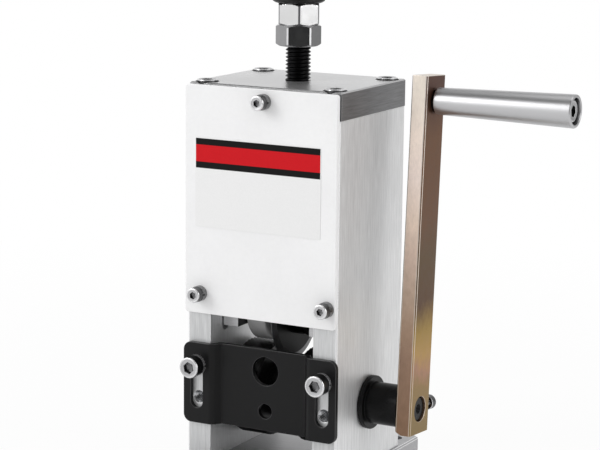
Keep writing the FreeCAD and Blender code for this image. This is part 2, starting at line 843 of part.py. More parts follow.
export("pressure_drum", pressure_drum())
export("blade_lock_nut", blade_lock_nut())
export("lead_screw", lead_screw())
export("screw_retainer", screw_retainer())
export("retainer_screw", retainer_screw())
export("lower_nut", lead_nut(low_nut_z, lower_nut_turn))
export("upper_nut", lead_nut(high_nut_z, upper_nut_turn))
export("star_knob", star_knob())
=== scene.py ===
# %% [markdown]
# # A hand crank wire stripper, dressed for the camera
#
# The metal parts of this tool already exist as exact CAD bodies. This lesson gives them
# their looks: broken edges that catch light, a real screw thread, knurled screw heads,
# brushed aluminium and yellow-passivated steel. Nothing is moved: every piece takes its
# place from the CAD body that it dresses.

import math

import bmesh
import bpy
from mathutils import Matrix, Vector


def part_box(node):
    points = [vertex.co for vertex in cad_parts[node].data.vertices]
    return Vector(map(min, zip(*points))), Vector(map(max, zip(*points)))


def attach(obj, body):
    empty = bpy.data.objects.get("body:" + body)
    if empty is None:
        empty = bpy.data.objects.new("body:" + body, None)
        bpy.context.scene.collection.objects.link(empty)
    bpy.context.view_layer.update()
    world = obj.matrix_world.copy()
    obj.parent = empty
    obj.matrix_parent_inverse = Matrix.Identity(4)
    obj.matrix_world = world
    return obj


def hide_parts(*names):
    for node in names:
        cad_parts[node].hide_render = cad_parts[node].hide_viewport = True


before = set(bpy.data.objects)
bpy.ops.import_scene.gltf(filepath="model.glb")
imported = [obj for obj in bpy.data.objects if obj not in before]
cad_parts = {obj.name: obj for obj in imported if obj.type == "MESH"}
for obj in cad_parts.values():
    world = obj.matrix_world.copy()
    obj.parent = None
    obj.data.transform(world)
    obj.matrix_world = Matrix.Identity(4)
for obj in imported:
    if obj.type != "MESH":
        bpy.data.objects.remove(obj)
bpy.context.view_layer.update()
MM = 0.001
PER_METRE = 1000.0
X_AXIS = Vector((1, 0, 0))
Z_AXIS = Vector((0, 0, 1))

# %% [markdown]
# ## Shader sums written as Python
#
# A procedural material is a small sum over the surface: noise times a colour, a mask
# minus one, and so on. Blender wants each step as a Math node. One class that wraps a
# socket and overloads the operators keeps the recipe readable, and the nodes appear
# behind it.

# %% Sockets that can be added and multiplied
class Wire:
    """A shader output that takes part in Python sums."""

    def __init__(self, graph, socket):
        self.graph = graph
        self.socket = socket

    def sum_node(self, operation, first, second=0.0):
        return self.graph.node("ShaderNodeMath", {"operation": operation}, {0: first, 1: second})

    def __add__(self, other):
        return self.sum_node("ADD", self, other)

    def __sub__(self, other):
        return self.sum_node("SUBTRACT", self, other)

    def __rsub__(self, other):
        return self.sum_node("SUBTRACT", other, self)

    def __mul__(self, other):
        return self.sum_node("MULTIPLY", self, other)

    def __pow__(self, other):
        return self.sum_node("POWER", self, other)

    def size(self):
        return self.sum_node("ABSOLUTE", self)

    def ramp(self, low, high):
        """0 at low, 1 at high, straight between."""
        inputs = {0: self, 1: low, 2: high, 3: 0.0, 4: 1.0}
        return self.graph.node("ShaderNodeMapRange", {"clamp": True}, inputs)


class Graph:
    """Adds nodes to one node tree."""

    def __init__(self, tree):
        self.tree = tree

    def node(self, kind, settings=None, inputs=None, output=0):
        """Adds one node: settings first, then its sockets, and gives one output back."""
        made = self.tree.nodes.new(kind)
        for key, value in (settings or {}).items():
            if key == "stops":
                self.set_stops(made, value)
            else:
                setattr(made, key, value)
        for key, value in (inputs or {}).items():
            self.feed(made.inputs[key], value)
        return Wire(self, made.outputs[output])

    def feed(self, socket, value):
        """A wire, a number, a vector or a colour of three parts into a socket."""
        if isinstance(value, Wire):
            self.tree.links.new(value.socket, socket)
        elif socket.type == "RGBA" and len(value) == 3:
            socket.default_value = (*value, 1.0)
        else:
            socket.default_value = value

    def set_stops(self, made, stops):
        """Colour stops of a ramp node: (place, colour) pairs."""
        elements = made.color_ramp.elements
        while len(elements) < len(stops):
            elements.new(0.5)
        for element, (place, colour) in zip(elements, stops):
            element.position = place
            element.color = (*colour, 1.0)

    def place(self):
        """Object coordinates: metres in the tool's own frame."""
        return self.node("ShaderNodeTexCoord", output=3)

    def along(self, axis):
        """One coordinate of the surface in millimetres."""
        parts = self.node("ShaderNodeSeparateXYZ", inputs={0: self.place()}, output=axis)
        return parts * PER_METRE

    def noise(self, stretch, detail=3.0, roughness=0.55):
        """Noise whose grains per millimetre differ by direction."""
        scaled = self.node("ShaderNodeMapping", inputs={
            "Vector": self.place(), "Scale": tuple(PER_METRE * s for s in stretch)})
        return self.node("ShaderNodeTexNoise", inputs={
            "Vector": scaled, "Scale": 1.0, "Detail": detail, "Roughness": roughness})

    def blend(self, share, first, second):
        """Mix of two colours by a share from 0 to 1."""
        return self.node("ShaderNodeMix", {"data_type": "RGBA"},
                         {0: share, 6: first, 7: second}, output=2)

    def edge_wear(self, low, high):
        """0 on flats and 1 on outer edges, from the mesh's own curvature."""
        return self.node("ShaderNodeNewGeometry", output=7).ramp(low, high)

    def ray(self, kind):
        """1 for rays of one kind, and 0 for all others."""
        return self.node("ShaderNodeLightPath", output=kind)

    def bump(self, height, depth_mm):
        """A normal from a height of 0 to 1, depth_mm deep."""
        return self.node("ShaderNodeBump", inputs={
            "Strength": 1.0, "Distance": depth_mm * MM, "Height": height})


class Finish(Graph):
    """The nodes of one material, around its surface shader."""

    def __init__(self, name):
        self.material = bpy.data.materials.new(name)
        self.material.use_nodes = True
        super().__init__(self.material.node_tree)
        self.shader = self.tree.nodes["Principled BSDF"]

    def set(self, name, value):
        """A constant or a wire into the surface shader."""
        self.feed(self.shader.inputs[name], value)

    def surface(self, colour, roughness, relief, depth_mm, metal=0.0, shine=0.5):
        """Wire up the surface shader and give the material back."""
        self.set("Base Color", colour)
        self.set("Metallic", metal)
        self.set("Specular IOR Level", shine)
        self.set("Roughness", roughness)
        self.set("Normal", self.bump(relief, depth_mm))
        return self.material


def toned(colour, factor):
    """A colour made lighter or darker, up to white."""
    return tuple(min(1.0, part * factor) for part in colour)


print("shader sums ready")

# %% [markdown]
# ## Brushed aluminium
#
# The plates are brushed with an abrasive belt, so thousands of fine scratches run one
# way. A noise squeezed across the grain and stretched along it gives the same streaks.
# It is used three times over: a little in the colour, more in the roughness, and as
# a very shallow bump.

# %% A brushed metal recipe
ALONG_X, ALONG_Y, ALONG_Z = 0, 1, 2
FINE_ACROSS, FINE_ALONG = 4.0, 0.10
BROAD_ACROSS, BROAD_ALONG = 1.2, 0.06
SPREAD = 2.5


def brushed(name, colour, grain, roughness, contrast=0.10, metal=1.0, depth=0.004):
    """Brushed metal; grain is the axis along which the scratches run."""
    graph = Finish(name)
    fine = [FINE_ACROSS] * 3
    broad = [BROAD_ACROSS] * 3
    fine[grain] = FINE_ALONG
    broad[grain] = BROAD_ALONG
    scratch = graph.noise(fine, detail=4.0, roughness=0.75)
    band = graph.noise(broad, detail=3.0)
    cloud = graph.noise((0.03, 0.03, 0.03), detail=2.0)
    tone = (scratch - 0.5) * 1.5 + (band - 0.5) * 1.0 + (cloud - 0.5) * 0.5
    base = graph.blend(tone + 0.5, toned(colour, 1 - SPREAD * contrast),
                       toned(colour, 1 + SPREAD * contrast))
    rubbed = band.ramp(0.60, 0.75) * scratch.ramp(0.45, 0.65)
    matt = (scratch - 0.5) * 0.35 + (cloud - 0.5) * 0.15 + roughness
    return graph.surface(graph.blend(rubbed * 0.5, base, toned(colour, 1.25)), matt, scratch,
                         depth, metal)


plate_finish = brushed("plate_brushed_upright", (0.60, 0.605, 0.61), ALONG_Z, 0.46,
                       contrast=0.09, metal=0.65, depth=0.008)
# The plates' faces that look along X get a lighter copy of the same aluminium: painted light.
plate_side_painted_light = brushed("side_brushed_painted_light", (0.80, 0.805, 0.81), ALONG_Z, 0.46,
                      contrast=0.08, metal=0.65, depth=0.008)
base_finish = brushed("base_brushed", (0.46, 0.46, 0.47), ALONG_X, 0.46, contrast=0.08, metal=0.5)
block_top_finish = brushed("block_top_satin", (0.56, 0.56, 0.565), ALONG_X, 0.30,
                           contrast=0.03, metal=0.8)
block_side_finish = brushed("block_side_brushed", (0.26, 0.26, 0.265), ALONG_Y, 0.40,
                            contrast=0.14)
carrier_finish = brushed("carrier_milled", (0.62, 0.62, 0.63), ALONG_X, 0.42, contrast=0.05,
                         metal=0.7)
# The carrier's inner walls get a dark copy of its aluminium: painted shade inside the fork.
carrier_inside_painted_shade = brushed("carrier_inside_painted_shade", (0.10, 0.10, 0.10), ALONG_Z, 0.50, contrast=0.05)
# A lighter copy for the bevels of the aluminium parts: a painted highlight on the edges.
rim_painted_highlight = brushed("rim_painted_highlight", (0.86, 0.86, 0.87), ALONG_Y, 0.32, contrast=0.03, metal=0.8)
print("aluminium finishes ready")

# %% [markdown]
# ## Steel in its many coats
#
# Small steel parts are bright zinc, ground, nickel or black. They differ in colour and
# in how sharply they reflect, and they share fine speckle and worn edges. One recipe
# with those values as its arguments serves them all.

# %% Turned and plated steel
def steel(name, colour, roughness, speckle=0.08, wear=0.3, worn_colour=(0.8, 0.8, 0.8),
          metal=1.0, shine=0.5):
    """Plated or bare steel with fine speckle and lighter edges."""
    graph = Finish(name)
    speck = graph.noise((2.5, 2.5, 2.5), detail=5.0, roughness=0.7)
    stain = graph.noise((0.12, 0.12, 0.12), detail=3.0)
    base = graph.blend((speck - 0.5) * 0.8 + (stain - 0.5) * 0.8 + 0.5,
                       toned(colour, 1 - 3 * speckle), toned(colour, 1 + 2 * speckle))
    worn = graph.edge_wear(0.53, 0.62) * speck.ramp(0.35, 0.6)
    matt = (speck - 0.5) * 0.2 + (stain - 0.5) * 0.1 + roughness
    return graph.surface(graph.blend(worn * wear, base, worn_colour), matt, speck, 0.003,
                         metal, shine)


bright_screw = steel("bright_zinc_screw", (0.76, 0.76, 0.77), 0.28, wear=0.1, metal=0.85)
nickel = steel("nickel_nut", (0.70, 0.70, 0.70), 0.15, speckle=0.04, wear=0.0)
ground_steel = steel("ground_steel", (0.62, 0.63, 0.65), 0.26)
bronze = steel("oiled_bronze", (0.55, 0.36, 0.17), 0.34)
black_oxide = steel("black_oxide", (0.004, 0.004, 0.0042), 0.30, speckle=0.12, wear=0.03,
                    worn_colour=(0.22, 0.22, 0.23), metal=0.0, shine=0.16)
black_screw = steel("black_lead_screw", (0.022, 0.022, 0.023), 0.36, speckle=0.12, wear=0.10,
                    worn_colour=(0.16, 0.16, 0.17))
black_nut = steel("black_nut", (0.30, 0.30, 0.305), 0.18, speckle=0.06, wear=0.0)
# Corner colours for the nuts: a lighter one that paints highlights and a darker one that paints shade.
nut_corner_painted_highlight = steel("nut_corner_painted_highlight", (0.70, 0.70, 0.71), 0.34, speckle=0.06, wear=0.0, metal=0.7)
nut_corner_painted_shade = steel("nut_corner_painted_shade", (0.30, 0.30, 0.31), 0.34, speckle=0.06, wear=0.0, metal=0.9)
# Dark copies for the knurled sides and the sockets of the zinc heads: painted shade.
knurl_painted_shade = steel("screw_knurl_painted_shade", (0.11, 0.11, 0.112), 0.32, speckle=0.10)
screw_face = steel("screw_face", (0.52, 0.52, 0.53), 0.36, speckle=0.12, wear=0.0)
socket_painted_shade = steel("screw_socket_painted_shade", (0.17, 0.17, 0.175), 0.24, speckle=0.06, wear=0.0)
print("steel finishes ready")

# %% [markdown]
# ## A blade that is black and ground at the rim
#
# The blade is coloured near-black, and only its cutting bevel is ground bright. The
# distance from the axle tells the two apart, and it is the root of a sum of squares.

# %% Blade finish
AXLE_Z = 80.0
BEVEL_START = 20.5


def dark_blade():
    """Near-black inside, ground steel outside the start of the bevel."""
    graph = Finish("dark_blade")
    across = graph.along(ALONG_Y)
    up = graph.along(ALONG_Z) - AXLE_Z
    reach = (across * across + up * up) ** 0.5
    ground = reach.ramp(BEVEL_START - 0.1, BEVEL_START + 0.1)
    speck = graph.noise((2.5, 2.5, 2.5), detail=5.0, roughness=0.7)
    film = graph.blend(speck, (0.008, 0.008, 0.009), (0.02, 0.02, 0.021))
    steel_tone = graph.blend(speck, (0.12, 0.12, 0.125), (0.20, 0.20, 0.205))
    return graph.surface(graph.blend(ground, film, steel_tone), (speck - 0.5) * 0.2 + 0.42,
                         speck, 0.003, metal=ground, shine=0.12)


blade_steel = dark_blade()
print("blade finish ready")

# %% [markdown]
# ## Black powder coat, white paint and the moulded knob
#
# Paint and plastic aren't metals: their colour comes from below a clear surface. The
# bracket's coat is a little uneven, so a fine bump breaks its highlight. The cover's
# white keeps a satin sheen.

# %% Coats and plastics
def coat(name, colour, roughness, grain=1.2, depth=0.01, wear=0.0, worn_colour=(0.4, 0.4, 0.4),
         shine=0.5):
    """A painted or moulded surface with a fine orange peel."""
    graph = Finish(name)
    peel = graph.noise((grain, grain, grain), detail=3.0)
    cloud = graph.noise((0.02, 0.02, 0.02), detail=2.0)
    base = graph.blend((cloud - 0.5) * 1.4 + (peel - 0.5) * 0.4 + 0.5, toned(colour, 0.93),
                       toned(colour, 1.07))
    worn = graph.edge_wear(0.54, 0.64) * peel.ramp(0.4, 0.6)
    matt = (peel - 0.5) * 0.15 + (cloud - 0.5) * 0.1 + roughness
    return graph.surface(graph.blend(worn * wear, base, worn_colour), matt, peel, depth,
                         shine=shine)


bracket_coat = coat("bracket_black_coat", (0.006, 0.006, 0.0065), 0.36, wear=0.03, shine=0.2)
# The bracket's bevels get a lighter black: a painted highlight on its edges.
bracket_rim_painted_highlight = coat("bracket_rim_painted_highlight", (0.03, 0.03, 0.031), 0.30, shine=0.5)
# On the wheels the lighter worn edges paint glints on the knurl's crests: a painted highlight.
wheel_black = coat("wheel_black_oxide", (0.006, 0.006, 0.006), 0.34, grain=3.0, depth=0.02,
                   wear=0.12, worn_colour=(0.25, 0.25, 0.25), shine=0.35)
cover_white = coat("cover_white_satin", (0.885, 0.885, 0.89), 0.32, grain=0.6, depth=0.004)
knob_black = coat("knob_moulded_black", (0.008, 0.008, 0.008), 0.40, grain=2.5, depth=0.02,
                  shine=0.3)
print("coats ready")

# %% [markdown]
# ## Yellow-passivated zinc
#
# The crank arm is plated steel with a yellow chromate film. The film is so thin that
# its colour drifts from olive through pink to brown as its thickness changes, which is
# the same effect as oil on water. A colour ramp driven by the height on the arm and
# by soft noise copies that drift, and its stops also hold painted light and shade along
# the arm. Broad faces and narrow faces were plated alike: the narrow faces get a lighter
# ramp and the broad ones a darker ramp, painted light and painted shade.

# %% Two plated finishes for the crank arm
ARM_FOOT, ARM_HEAD = 28.0, 197.0


def passivated(name, stops, drift):
    """Zinc with a chromate film whose colour, and painted light and shade, drift with height on the arm.
    """
    graph = Finish(name)
    soft = graph.noise((0.035, 0.05, 0.022), detail=2.0)
    spots = graph.noise((0.4, 0.4, 0.25), detail=3.0)
    fine = graph.noise((5.0, 5.0, 0.15), detail=3.0, roughness=0.7)
    share = graph.along(ALONG_Z).ramp(ARM_FOOT, ARM_HEAD)
    height = share + (soft - 0.5) * drift + (spots - 0.5) * 0.05
    film = graph.node("ShaderNodeValToRGB", {"stops": stops}, {0: height})
    tone = (fine - 0.5) * 0.4 + (spots - 0.5) * 0.3 + 1.0
    shaded = graph.node("ShaderNodeVectorMath", {"operation": "SCALE"}, {0: film, "Scale": tone})
    matt = (fine - 0.5) * 0.25 + (spots - 0.5) * 0.2 + 0.40
    return graph.surface(shaded, matt, fine, 0.004, metal=0.75)


broad_painted_shade_stops = [(0.04, (0.261, 0.178, 0.07)), (0.14, (0.294, 0.19, 0.074)), (0.17, (0.40, 0.215, 0.135)),
               (0.22, (0.44, 0.27, 0.088)), (0.29, (0.338, 0.215, 0.048)), (0.37, (0.103, 0.049, 0.02)),
               (0.51, (0.114, 0.066, 0.027)), (0.61, (0.152, 0.072, 0.034)), (0.83, (0.181, 0.085, 0.04)),
               (0.96, (0.117, 0.055, 0.037))]
narrow_painted_light_stops = [(0.04, (0.239, 0.144, 0.09)), (0.22, (0.294, 0.189, 0.132)), (0.30, (0.346, 0.234, 0.164)),
                (0.40, (0.443, 0.326, 0.25)), (0.51, (0.577, 0.438, 0.36)), (0.61, (0.72, 0.576, 0.475)),
                (0.72, (0.83, 0.70, 0.63)), (0.83, (0.90, 0.77, 0.675)), (0.96, (0.72, 0.65, 0.57))]
# The arm's bevels get light stops of their own: a painted highlight on its edges.
rim_highlight_stops = [(0.0, (0.55, 0.45, 0.36)), (1.0, (0.80, 0.74, 0.68))]
arm_broad_painted_shade = passivated("arm_film_broad_painted_shade", broad_painted_shade_stops, drift=0.08)
arm_narrow_painted_light = passivated("arm_film_narrow_painted_light", narrow_painted_light_stops, drift=0.04)
arm_rim_painted_highlight = passivated("arm_film_rim_painted_highlight", rim_highlight_stops, drift=0.04)
print("plated finishes ready")

# %% [markdown]
# ## Turned stainless for the grip
#
# The grip is polished on a lathe, so its finest marks run round it. Fine rings along
# its length in the roughness and a faint bump make long soft reflections.

# %% Polished grip finish
def polished(name, colour, roughness, metal=1.0):
    """Metal turned about the X axis, with fine rings round it."""
    graph = Finish(name)
    rings = graph.noise((9.0, 0.05, 0.05), detail=4.0, roughness=0.7)
    cloud = graph.noise((0.05, 0.05, 0.05), detail=2.0)
    tone = (rings - 0.5) * 0.7 + (cloud - 0.5) * 0.5 + 0.5
    return graph.surface(graph.blend(tone, toned(colour, 0.9), colour),
                         (rings - 0.5) * 0.12 + roughness, rings, 0.0015, metal)


grip_polish = polished("grip_polished", (0.58, 0.58, 0.59), 0.35)
drum_turned = polished("drum_turned", (0.80, 0.80, 0.80), 0.50, metal=0.2)
print("turned finishes ready")

# %% [markdown]
# ## The label's print
#
# The film on the cover is plain white with one printed band: black above and below
# a red stripe. The print follows the film's own place, so soft masks on height for the
# band and its stripe, and one on width, are enough.

# %% Printed film
label_lo, label_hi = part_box("cover_label")
BAND_HEIGHT = 14.0
BAND_TOP = label_hi.z / MM - 0.6
BAND_LOW = BAND_TOP - BAND_HEIGHT
STRIPE_MARGIN = 3.0
SIDE_MARGIN = 0.3
PRINT_SOFT = 0.06


def printed_film():
    """White film with a black band and a red stripe."""
    graph = Finish("label_print")
    height = graph.along(ALONG_Z)
    across = graph.along(ALONG_X)
    middle = (label_lo.x + label_hi.x) / 2 / MM
    half = (label_hi.x - label_lo.x) / 2 / MM
    offset = (across - middle).size()

    def edge(value, place, soft):
        """0 to 1 across a soft edge; a negative softness turns it round."""
        return value.ramp(place - soft, place + soft)

    def strip(margin):
        """1 between two heights that lie a margin inside the band."""
        return (edge(height, BAND_LOW + margin, PRINT_SOFT)
                * edge(height, BAND_TOP - margin, -PRINT_SOFT))

    band = strip(0.0) * edge(offset, half - SIDE_MARGIN, -PRINT_SOFT)
    ink = graph.noise((1.5, 1.5, 1.5), detail=3.0)
    red = graph.blend(ink, (0.56, 0.004, 0.010), (0.64, 0.006, 0.012))
    film = graph.blend(ink, (0.82, 0.82, 0.82), (0.88, 0.88, 0.88))
    printed = graph.blend(strip(STRIPE_MARGIN), (0.002, 0.002, 0.002), red)
    return graph.surface(graph.blend(band, film, printed), (ink - 0.5) * 0.1 + 0.35, ink, 0.002,
                         shine=0.15)


label_print = printed_film()
print("label finish ready")

# %% [markdown]
# ## Turning a mesh into a finished piece
#
# Each piece is built in a bmesh and then handed over once: it becomes an object at the
# origin, gets its materials, rides on its CAD body and stands for a CAD node. Flat
# faces stay flat and rounds stay round when edges sharper than an angle are marked
# sharp and the normals are weighted by face size.

# %% Hand a mesh over
SHARP = math.radians(38)


def add_object(name, data):
    """A new object in the scene."""
    made = bpy.data.objects.new(name, data)
    bpy.context.scene.collection.objects.link(made)
    return made


def to_mesh(name, mesh_data, materials):
    """The mesh of a bmesh, with its materials."""
    mesh = bpy.data.meshes.new(name)
    mesh_data.to_mesh(mesh)
    mesh_data.free()
    for material in materials:
        mesh.materials.append(material)
    return mesh


def finish_piece(name, mesh_data, body, materials, node=None, sharp=SHARP):
    """Make the object for a bmesh, and let it ride on its body."""
    mesh = to_mesh(name, mesh_data, materials)
    for face in mesh.polygons:
        face.use_smooth = True
    mesh.set_sharp_from_angle(angle=sharp)
    piece = add_object(name, mesh)
    weighted = piece.modifiers.new("flat_faces", "WEIGHTED_NORMAL")
    weighted.keep_sharp = True
    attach(piece, body)
    if node:
        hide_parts(node)


def dress(node, material):
    """A new material on a CAD body that keeps its own shape."""
    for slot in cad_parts[node].material_slots:
        slot.material = material


print("piece helpers ready")

# %% [markdown]
# ## Breaking the edges of machined parts
#
# A machinist breaks every edge, and that narrow bevel is what catches the light. The
# CAD bodies have the right outline but knife edges. Their triangles are copied, merged
# into whole faces, and every sharp edge gets a bevel: two steps, and one on the arm. The
# bevel's own faces can get a lighter material, a painted highlight along the edges. The
# top block's pockets lie close together, so its bevels are clamped.

# %% Copy a CAD body and bevel it
FLAT = math.radians(0.5)
CORNER = math.radians(30)
EDGE_BREAK = 0.25


def softened(node, width_mm, segments=2, clamp=False):
    """A bmesh copy of a CAD body with merged faces and broken edges."""
    copy = bmesh.new()
    copy.from_mesh(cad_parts[node].data)
    bmesh.ops.remove_doubles(copy, verts=copy.verts, dist=1e-6)
    bmesh.ops.dissolve_limit(copy, angle_limit=FLAT, verts=copy.verts, edges=copy.edges,
                             use_dissolve_boundaries=False, delimit=set())
    edges = [e for e in copy.edges if len(e.link_faces) == 2 and e.calc_face_angle(0) > CORNER]
    rims = bmesh.ops.bevel(copy, geom=edges, offset=width_mm * MM, offset_type="OFFSET",
                           affect="EDGES", segments=segments, profile=0.5, material=-1,
                           clamp_overlap=clamp)["faces"]
    return copy, rims


def machined(node, body, materials, width_mm=EDGE_BREAK, choose=None, rim=None, segments=2,
             clamp=False):
    """A softened copy that stands for its node.

    Faces that choose picks get the second material, and rim is the bevels' material,
    a lighter colour that paints a highlight on the edges.
    clamp narrows all bevels where the body's edges are too short for the full width.
    """
    copy, rims = softened(node, width_mm, segments, clamp)
    if choose:
        copy.normal_update()
        for face in copy.faces:
            face.material_index = int(choose(face))
    if rim:
        for face in rims:
            face.material_index = len(materials)
        materials = materials + [rim]
    finish_piece(node + "_finish", copy, body, materials, node)


def faces_sideways(face):
    """Whether a face looks along X."""
    return abs(face.normal.x) > 0.7


def faces_up(face):
    """Whether a face looks up."""
    return face.normal.z > 0.5


def inside_leg(face):
    """Whether a carrier face looks across the fork at the other leg."""
    return abs(face.normal.x) > 0.9 and face.calc_center_median().x * face.normal.x < 0


# Faces that look along X take the lighter copy, which paints light on the plates' sides.
for plate in ("side_plate_left", "side_plate_right"):
    machined(plate, "frame", [plate_finish, plate_side_painted_light], rim=rim_painted_highlight, choose=faces_sideways)
machined("base_plate", "frame", [base_finish], rim=rim_painted_highlight)
machined("top_block", "frame", [block_side_finish, block_top_finish], rim=rim_painted_highlight,
         choose=faces_up, clamp=True)
machined("front_cover", "frame", [cover_white], width_mm=0.3)
machined("guide_bracket", "guide", [bracket_coat], rim=bracket_rim_painted_highlight)
machined("drive_collar", "crank", [black_oxide], width_mm=0.3)
# Faces inside the fork take the dark copy, which paints the shade between the legs.
machined("blade_carrier", "carrier", [carrier_finish, carrier_inside_painted_shade], choose=inside_leg)
# The narrow faces take the lighter ramp and the sideways faces the darker one: painted light and shade.
machined("crank_arm", "crank", [arm_narrow_painted_light, arm_broad_painted_shade], width_mm=0.22, rim=arm_rim_painted_highlight, segments=1,
         choose=faces_sideways)
print("machined parts dressed")

# %% [markdown]
# ## The parts inside
#
# Behind the cover sit shafts, spacers and pins. They show only through the openings,
# so the CAD shapes are good enough and only want their metal.

# %% Finishes for the inner parts
inner_parts = {
    "shaft_bushings": bronze, "feed_sleeve": black_oxide, "wheel_grub": black_screw,
    "blade_axle": ground_steel, "blade_hub": ground_steel, "blade_spacers": black_screw,
    "blade_disc": blade_steel, "pressure_drum": drum_turned, "blade_lock_nut": black_screw,
    "guide_keys": ground_steel, "screw_retainer": bright_screw, "handle_nut": black_screw,
    # The cover's washers take the knurl's painted shade.
    "cover_washers": knurl_painted_shade, "bracket_washers": bright_screw,
}
for node, material in inner_parts.items():
    dress(node, material)
print("CAD bodies dressed as they are:", len(inner_parts))

# %% [markdown]
# ## Socket head screws
#
# A socket head screw is turned, knurled round its head and punched with a hexagon. The
# model starts from one circle. It is extruded up in steps, and every second point of the
# middle rings is pulled in for the knurl. The top is drawn in to a shallow dish and then
# to the hexagon, whose points are moved from the circle onto the flats.

# %% Stacks of rings
def start_disc(mesh, segments, radius, height=0.0):
    """A round face that looks up, the foot of a stack of rings."""
    ring = bmesh.ops.create_circle(mesh, cap_ends=True, segments=segments, radius=radius)["verts"]
    bmesh.ops.translate(mesh, verts=ring, vec=(0, 0, height))
    face = ring[0].link_faces[0]
    if face.normal.z < 0:
        face.normal_flip()
    return face


def ring_scale(verts, radius_at):
    """Move ring points to a radius that may depend on the angle."""
    for vert in verts:
        angle = math.atan2(vert.co.y, vert.co.x)
        radius = radius_at(angle)
        vert.co.x = radius * math.cos(angle)
        vert.co.y = radius * math.sin(angle)


def hexagon_radius(flats):
    """Radius of a hexagon's outline at an angle."""
    def at(angle):
        turned = (angle + math.pi / 6) % (math.pi / 3) - math.pi / 6
        return flats / 2 / math.cos(turned)
    return at


def stack(mesh, face, steps):
    """Extrude a face in steps of (rise, outline): a radius, a function of angle, or None."""
    for rise, outline in steps:
        face = bmesh.ops.extrude_discrete_faces(mesh, faces=[face])["faces"][0]
        for vert in face.verts:
            vert.co.z += rise
        if outline:
            ring_scale(face.verts, outline if callable(outline) else lambda angle: outline)
    return face


print("ring helpers ready")

# %% One head recipe for all sizes
HEAD_SEGMENTS = 72
SHANK_SEGMENTS = 24
KNURL_DEPTH = 0.10
KNURL_EDGE = 0.15
FOOT_CHAMFER = 0.25
DISH_RIM = 0.8
SOCKET_MOUTH = 0.25
# The knurl and the socket take darker colours that paint the shade on the head's side and in its hexagon.
HEAD_MATERIALS = [bright_screw, knurl_painted_shade, socket_painted_shade, screw_face]


def head_material(face, radius, height, flats):
    """Which of the head's materials a face gets: rim, knurl or socket in painted shade, or dish."""
    centre = face.calc_center_median()
    reach = math.hypot(centre.x, centre.y)
    if reach > radius - 0.35 and 0.3 < centre.z < height - 0.35:
        return 1
    if reach < flats / 2 * 1.2 and 0.5 < centre.z < height - 0.14:
        return 2
    if reach < radius - DISH_RIM - 0.02 and centre.z > height - 0.1:
        return 3
    return 0


def screw_head(mesh, radius, height, flats, shank, length, place):
    """One screw, built along +Z in millimetres, then moved into place."""
    before = set(mesh.verts)
    face = stack(mesh, start_disc(mesh, HEAD_SEGMENTS, radius - FOOT_CHAMFER),
                 [(FOOT_CHAMFER, radius), (KNURL_EDGE, None)])
    low_ring = list(face.verts)
    face = stack(mesh, face, [(height - 1.0, None)])
    high_ring = list(face.verts)
    face = stack(mesh, face, [(KNURL_EDGE, None), (0.3, radius - 0.15), (0.15, radius - 0.45)])
    for vert in low_ring[::2] + high_ring[::2]:
        vert.co.x *= (radius - KNURL_DEPTH) / radius
        vert.co.y *= (radius - KNURL_DEPTH) / radius
    stack(mesh, face, [(0.0, radius - DISH_RIM), (-0.06, radius - DISH_RIM - 0.15),
                       (0.0, hexagon_radius(flats + SOCKET_MOUTH)), (-0.12, hexagon_radius(flats)),
                       (-height * 0.42, None), (-height * 0.10, 0.4)])
    for made in {side for vert in mesh.verts if vert not in before for side in vert.link_faces}:
        made.material_index = head_material(made, radius, height, flats)
    bar = bmesh.ops.create_cone(mesh, cap_ends=True, segments=SHANK_SEGMENTS, radius1=shank,
                                radius2=shank, depth=length)["verts"]
    bmesh.ops.translate(mesh, verts=bar, vec=(0, 0, 0.1 - length / 2))
    put(mesh, [vert for vert in mesh.verts if vert not in before], place)


def put(mesh, verts, place):
    """Turn points in millimetres into metres and move them into place."""
    bmesh.ops.scale(mesh, verts=verts, vec=(MM, MM, MM))
    bmesh.ops.transform(mesh, matrix=place, verts=verts)


def facing(direction, point, turn=0.0):
    """A matrix that points +Z along a direction and moves to a point."""
    aim = Vector(direction).to_track_quat("Z", "Y").to_matrix().to_4x4()
    return Matrix.Translation(point) @ aim @ Matrix.Rotation(math.radians(turn), 4, "Z")


print("head recipe ready")

# %% [markdown]
# ## Setting the screws in place
#
# The CAD node of each screw group says where its heads sit. The group's box gives the
# outer faces, and the known pitch between screws gives the rest.

# %% Cover, bracket, top and base screws
M4 = {"radius": 3.5, "height": 4.0, "flats": 3.0, "shank": 2.0}
M6 = {"radius": 5.0, "height": 6.0, "flats": 5.0, "shank": 3.0}


def screw_group(name, node, body, size, length, places):
    """Several equal screws as one piece; places are (direction, seat point, turn)."""
    mesh = bmesh.new()
    for direction, point, turn in places:
        screw_head(mesh, length=length, place=facing(direction, point, turn), **size)
    bmesh.ops.recalc_face_normals(mesh, faces=mesh.faces)
    finish_piece(name, mesh, body, HEAD_MATERIALS, node, sharp=math.radians(28))
    print(name, "screws:", len(places))


cover_lo, cover_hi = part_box("cover_screws")
seat_y = cover_lo.y + M4["height"] * MM
low_z = cover_lo.z + M4["radius"] * MM
high_z = cover_hi.z - M4["radius"] * MM
left_x = cover_lo.x + M4["radius"] * MM
right_x = cover_hi.x - M4["radius"] * MM
front = (0, -1, 0)
screw_group("cover_screw_set", "cover_screws", "frame", M4, 12.0,
            [(front, (left_x, seat_y, low_z), 8.0),
             (front, (right_x, seat_y, low_z), 20.0),
             (front, ((left_x + right_x) / 2, seat_y, high_z), 4.0)])

bracket_lo, bracket_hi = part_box("bracket_screws")
seat_y = bracket_lo.y + M6["height"] * MM
mid_z = (bracket_lo.z + bracket_hi.z) / 2
side_x = bracket_hi.x - M6["radius"] * MM
screw_group("bracket_screw_set", "bracket_screws", "frame", M6, 12.0,
            [(front, (-side_x, seat_y, mid_z), 12.0),
             (front, (side_x, seat_y, mid_z), 26.0)])

